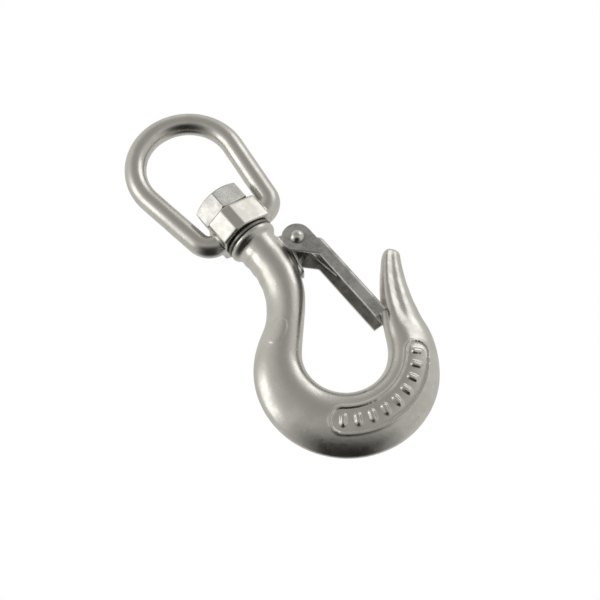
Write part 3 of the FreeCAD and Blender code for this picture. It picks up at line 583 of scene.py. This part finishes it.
@dataclass
class SwivelFittings:
    """Nut, lock pin and washer, all turned."""

    nut_face: float = 0.17
    nut_rounds: int = 3
    nut: MetalFinish = MetalFinish(
        "machined_nut_steel", light=(0.58, 0.57, 0.545), dark=(0.50, 0.49, 0.465), rough_low=0.25,
        rough_high=0.36, relief=0.012, ring_depth=0.006, edge_share=0.5)
    pin: MetalFinish = MetalFinish(
        "ground_pin_steel", light=(0.62, 0.62, 0.60), dark=(0.52, 0.52, 0.50), rough_low=0.26,
        rough_high=0.36, relief=0.006, edge_share=0.2)
    # The washer's dark tone is painted shade of the narrow gap between the boss and the collar.
    washer: MetalFinish = MetalFinish(
        "dull_washer_steel_painted_gap_shade", light=(0.36, 0.36, 0.35), dark=(0.27, 0.27, 0.26), rough_low=0.42,
        rough_high=0.56, relief=0.015, ring_depth=0.010, edge_share=0.3)

    def build(self, effects: Effects) -> None:
        """Paints the fittings and breaks the nut's edges.

        Args:
            effects: The shared node groups.
        """
        nut = frame["nodes"][Node.NUT.value]
        soften(nut, self.nut_face, self.nut_rounds)
        paint(nut, self.nut.build(effects))
        paint(frame["nodes"][Node.LOCK_PIN.value], self.pin.build(effects))
        paint(frame["nodes"][Node.WASHER.value], self.washer.build(effects))


@dataclass
class LatchFlap:
    """The folded latch and the rivet that it turns on."""

    latch_face: float = 0.20
    latch_rounds: int = 2
    rivet_face: float = 0.14
    rivet_rounds: int = 3
    bend: float = 1.3
    sheet_light: Colour = (0.58, 0.57, 0.55)
    sheet_dark: Colour = (0.32, 0.315, 0.30)
    rivet: MetalFinish = MetalFinish(
        "set_rivet_steel", light=(0.70, 0.69, 0.66), dark=(0.60, 0.59, 0.56), rough_low=0.18,
        rough_high=0.30, mottle_scale=420.0, relief=0.03, edge_share=0.3)

    def build(self, effects: Effects) -> None:
        """Paints the latch and the rivet.

        Args:
            effects: The shared node groups.
        """
        latch = frame["nodes"][Node.LATCH.value]
        web_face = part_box(Node.LATCH.value)[1].x - self.bend * MM
        sheet = SheetFinish(
            "rolled_sheet_steel", light=self.sheet_light, dark=self.sheet_dark, rough_low=0.38,
            rough_high=0.50, grain_scale=4200.0, mottle_scale=240.0, relief=0.02, edge_share=0.7,
            edge_start=0.53, mark_depth=0.006, mark_scale=2600.0, web_face=web_face)
        soften(latch, self.latch_face, self.latch_rounds)
        paint(latch, sheet.build(effects))
        rivet = frame["nodes"][Node.RIVET.value]
        soften(rivet, self.rivet_face, self.rivet_rounds)
        paint(rivet, self.rivet.build(effects))


@dataclass
class LatchSpring:
    """Double torsion spring of one wire: web leg, coil, neck leg, cross bar, and the same again."""

    wire: float = 0.9
    coil_radius: float = 2.5
    coil_inner: float = 2.65
    coil_pitch: float = 0.95
    neck_leg_drop: float = 9.47
    corner: float = 1.4
    corner_steps: int = 8
    sides: int = 14
    steps_a_turn: int = 48
    blend_reach: float = 0.95
    finish: MetalFinish = MetalFinish(
        "drawn_spring_wire", light=(0.64, 0.635, 0.61), dark=(0.52, 0.515, 0.50), rough_low=0.20,
        rough_high=0.32, mottle_scale=500.0, relief=0.006, edge_share=0.0, corner_shade_share=0.0)

    def pivot(self) -> Vector:
        """The rivet's centre, in metres."""
        joint = next(j for j in frame["joints"] if j["child"] == Body.LATCH.value)
        return Vector(joint["pos_m"])

    def leaving_angle(self, target: Vector, side: int) -> float:
        """Angle on the coil from which a straight leg runs to a point.

        Args:
            target: The leg's far end, from the rivet.
            side: 1 or -1, for the two tangents.

        Returns:
            The angle in radians, from +X towards +Z.
        """
        reach = math.hypot(target.x, target.z)
        spread = math.acos(self.coil_radius * MM / reach)
        return math.atan2(target.z, target.x) + side * spread

    def on_coil(self, angle: float, y: float) -> Vector:
        """Point on the coil, from the rivet.

        Args:
            angle: Radians from +X towards +Z.
            y: Place along the rivet, in metres.

        Returns:
            The point in metres.
        """
        radius = self.coil_radius * MM
        return Vector((radius * math.cos(angle), y, radius * math.sin(angle)))

    def half(self) -> list[Vector]:
        """Centre line of the front half, from the web leg's end to the middle of the cross bar.

        Returns:
            Points in metres, from the rivet.
        """
        low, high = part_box(Node.SPRING.value)
        thick = self.wire * MM / 2
        centre = self.pivot()
        web_end = Vector((high.x - thick - centre.x, 0, low.z + thick - centre.z))
        neck_end = Vector((low.x + thick - centre.x, 0, -self.neck_leg_drop * MM))
        start = self.leaving_angle(neck_end, -1)
        end = self.leaving_angle(web_end, 1)
        turn = (start - end) % math.tau + math.tau
        inner = self.coil_inner * MM
        outer = inner + self.coil_pitch * MM * turn / math.tau
        points = [Vector((web_end.x, -outer, web_end.z))]
        count = round(self.steps_a_turn * turn / math.tau)
        for i in range(count + 1):
            share = i / count
            angle = start - turn * (1 - share)
            points.append(self.on_coil(angle, -(outer + (inner - outer) * share)))
        down = (neck_end - self.on_coil(start, 0)).normalized()
        radius = self.corner * MM
        for i in range(self.corner_steps + 1):
            bend = math.pi / 2 * i / self.corner_steps
            drop = neck_end - down * radius * (1 - math.sin(bend))
            points.append(drop + Vector((0, -(inner - radius * (1 - math.cos(bend))), 0)))
        points.append(Vector((neck_end.x, 0, neck_end.z)))
        return points

    def tube(self, line: list[Vector]) -> bpy.types.Mesh:
        """Sweeps the round wire along its centre line, with rounded ends.

        Args:
            line: The centre line's points, in metres.

        Returns:
            The mesh.
        """
        radius = self.wire * MM / 2
        rings: list[tuple[Vector, float, Vector]] = []
        last = len(line) - 1
        tangents = [(line[min(i + 1, last)] - line[max(i - 1, 0)]).normalized() for i in range(last + 1)]
        for share in CAP_SHARES:
            reach = radius * math.sqrt(1 - share * share)
            rings.append((line[0] - tangents[0] * reach, radius * share, tangents[0]))
        rings += [(point, radius, tangent) for point, tangent in zip(line, tangents)]
        for share in reversed(CAP_SHARES):
            reach = radius * math.sqrt(1 - share * share)
            rings.append((line[-1] + tangents[-1] * reach, radius * share, tangents[-1]))
        across = Vector((0, 1, 0)).cross(tangents[0]).normalized()
        verts: list[Vector] = []
        for centre, size, tangent in rings:
            across = (across - tangent * across.dot(tangent)).normalized()
            other = tangent.cross(across)
            for k in range(self.sides):
                angle = math.tau * k / self.sides
                verts.append(centre + (across * math.cos(angle) + other * math.sin(angle)) * size)
        faces = []
        for i in range(len(rings) - 1):
            for k in range(self.sides):
                a = i * self.sides + k
                b = i * self.sides + (k + 1) % self.sides
                faces.append((a, b, b + self.sides, a + self.sides))
        faces.append(tuple(reversed(range(self.sides))))
        faces.append(tuple(range((len(rings) - 1) * self.sides, len(rings) * self.sides)))
        mesh = bpy.data.meshes.new("sprung_wire")
        mesh.from_pydata(verts, [], faces)
        mesh.shade_smooth()
        return mesh

    def build(self, effects: Effects) -> None:
        """Makes the wire, which runs between the hook and the latch.

        Args:
            effects: The shared node groups.
        """
        centre = self.pivot()
        front = self.half()
        back = [Vector((p.x, -p.y, p.z)) for p in reversed(front[:-1])]
        mesh = self.tube([centre + p for p in front + back])
        spring = bpy.data.objects.new("torsion_spring", mesh)
        bpy.context.scene.collection.objects.link(spring)
        paint(spring, self.finish.build(effects))
        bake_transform(spring)
        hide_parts(Node.SPRING.value)


# ---------------------------------------------------------------- studio


@dataclass
class Studio:
    """Camera, soft light, pale surroundings and a plain floor.

    Lengths are millimetres, but floor_half, the lamps' places and their sizes are metres. Directions
    are the camera's: right, up and back. A span holds the cosines where a shade starts and is full.
    """

    lean: float = 38.6
    tilt: float = 26.0
    distance: float = 500.0
    lens: float = 95.1
    target: tuple[float, float, float] = (-1.09, 0.0, -74.1)
    floor_drop: float = 330.0
    floor_half: float = 30.0
    sensor: float = 36.0
    pale: Colour = (0.72, 0.71, 0.68)
    gloom: Colour = (0.010, 0.008, 0.007)
    gloom_way: tuple[float, float, float] = (0.0, -0.80, 0.60)
    gloom_span: tuple[float, float] = (0.24, 0.80)
    gloom_depth: float = 0.98
    side_span: tuple[float, float] = (0.30, 0.85)
    side_share: float = 0.25
    front_way: tuple[float, float, float] = (0.0, 0.79, 0.62)
    front_span: tuple[float, float] = (0.60, 0.98)
    front_depth: float = 0.45
    lamps: tuple[tuple[str, tuple[float, float, float], float, float], ...] = (
        ("top_light", (0.45, 0.75, 0.10), 0.5, 0.8),
        ("left_light", (-0.8, 0.10, 0.30), 0.5, 1.0),
    )

    def axes(self) -> Matrix:
        """The camera's right, up and back directions, as the columns of a matrix."""
        lean, tilt = math.radians(self.lean), math.radians(self.tilt)
        right = Vector((math.cos(lean), 0, -math.sin(lean)))
        along = Vector((math.sin(lean), 0, math.cos(lean)))
        front = Vector((0, -1, 0))
        up = along * math.cos(tilt) + front * math.sin(tilt)
        back = front * math.cos(tilt) - along * math.sin(tilt)
        return Matrix((right, up, back)).transposed()

    def camera(self) -> None:
        """Places the camera."""
        data = bpy.data.cameras.new("studio_camera")
        data.lens = self.lens
        data.sensor_width = self.sensor
        data.clip_start = 0.01
        data.clip_end = 20.0
        camera = bpy.data.objects.new("studio_camera", data)
        bpy.context.scene.collection.objects.link(camera)
        axes = self.axes()
        place = Vector(self.target) * MM + axes @ Vector((0, 0, self.distance * MM))
        camera.matrix_world = Matrix.Translation(place) @ axes.to_4x4()
        bpy.context.scene.camera = camera

    def lamp(self, name: str, place: Vector, size: float, power: float) -> None:
        """Adds one soft square lamp that faces the hook.

        Args:
            name: The lamp's name.
            place: Where it stands, in the camera's directions, in metres from the hook.
            size: Its side, in metres.
            power: Its power in watts.
        """
        data = bpy.data.lights.new(name, "AREA")
        data.size = size
        data.energy = power
        lamp = bpy.data.objects.new(name, data)
        bpy.context.scene.collection.objects.link(lamp)
        away = self.axes() @ place
        lamp.location = Vector(self.target) * MM + away
        lamp.rotation_mode = "QUATERNION"
        lamp.rotation_quaternion = away.to_track_quat("Z", "Y")

    def surroundings(self) -> None:
        """A pale studio all round, darker below and in front."""
        world = bpy.data.worlds.new("pale_studio")
        world.use_nodes = True
        bpy.context.scene.world = world
        graph = Graph(world.node_tree)
        ray = graph.add("TexCoord").outputs["Generated"]
        axes = self.axes()
        sideways = graph.math("ABSOLUTE", graph.dot(ray, axes @ Vector((1, 0, 0))))
        below = graph.dot(ray, axes @ Vector(self.gloom_way))
        dark = graph.span(below, *self.gloom_span, 0.0, self.gloom_depth)
        dark = graph.math("MULTIPLY", dark, graph.span(sideways, *self.side_span, 1.0, self.side_share))
        above = graph.dot(ray, axes @ Vector(self.front_way))
        front = graph.span(above, *self.front_span, 0.0, self.front_depth)
        level = graph.math("MULTIPLY", graph.math("SUBTRACT", 1.0, dark), graph.math("SUBTRACT", 1.0, front))
        tone = graph.blend(level, self.gloom, self.pale)
        seen = graph.add("LightPath").outputs["Is Camera Ray"]
        colour = graph.blend(seen, tone, WHITE)
        graph.feed(world.node_tree.nodes["Background"].inputs["Color"], colour)

    def floor(self) -> None:
        """A plain pale floor well below the hanging hook."""
        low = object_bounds()[0].z - self.floor_drop * MM
        half = self.floor_half
        mesh = bpy.data.meshes.new("studio_floor")
        corners = [(-half, -half, low), (half, -half, low), (half, half, low), (-half, half, low)]
        mesh.from_pydata(corners, [], [(0, 1, 2, 3)])
        floor = bpy.data.objects.new("studio_floor", mesh)
        bpy.context.scene.collection.objects.link(floor)
        material = bpy.data.materials.new("pale_floor")
        material.use_nodes = True
        shader = material.node_tree.nodes["Principled BSDF"]
        shader.inputs["Base Color"].default_value = (0.93, 0.93, 0.92, 1.0)
        shader.inputs["Roughness"].default_value = 0.8
        mesh.materials.append(material)
        floor.visible_glossy = False
        floor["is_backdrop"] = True

    def build(self) -> None:
        """Sets up everything round the hook."""
        self.camera()
        self.surroundings()
        self.floor()
        for name, place, size, power in self.lamps:
            self.lamp(name, Vector(place), size, power)
        bpy.context.scene.view_settings.view_transform = "Standard"
        LOG.info("studio is set up")


def main() -> None:
    """Builds the looks in order."""
    logging.basicConfig(level=logging.INFO)
    effects = Effects()
    Castings().build(effects)
    SwivelFittings().build(effects)
    LatchFlap().build(effects)
    LatchSpring().build(effects)
    Studio().build()


if __name__ == "__main__":
    main()
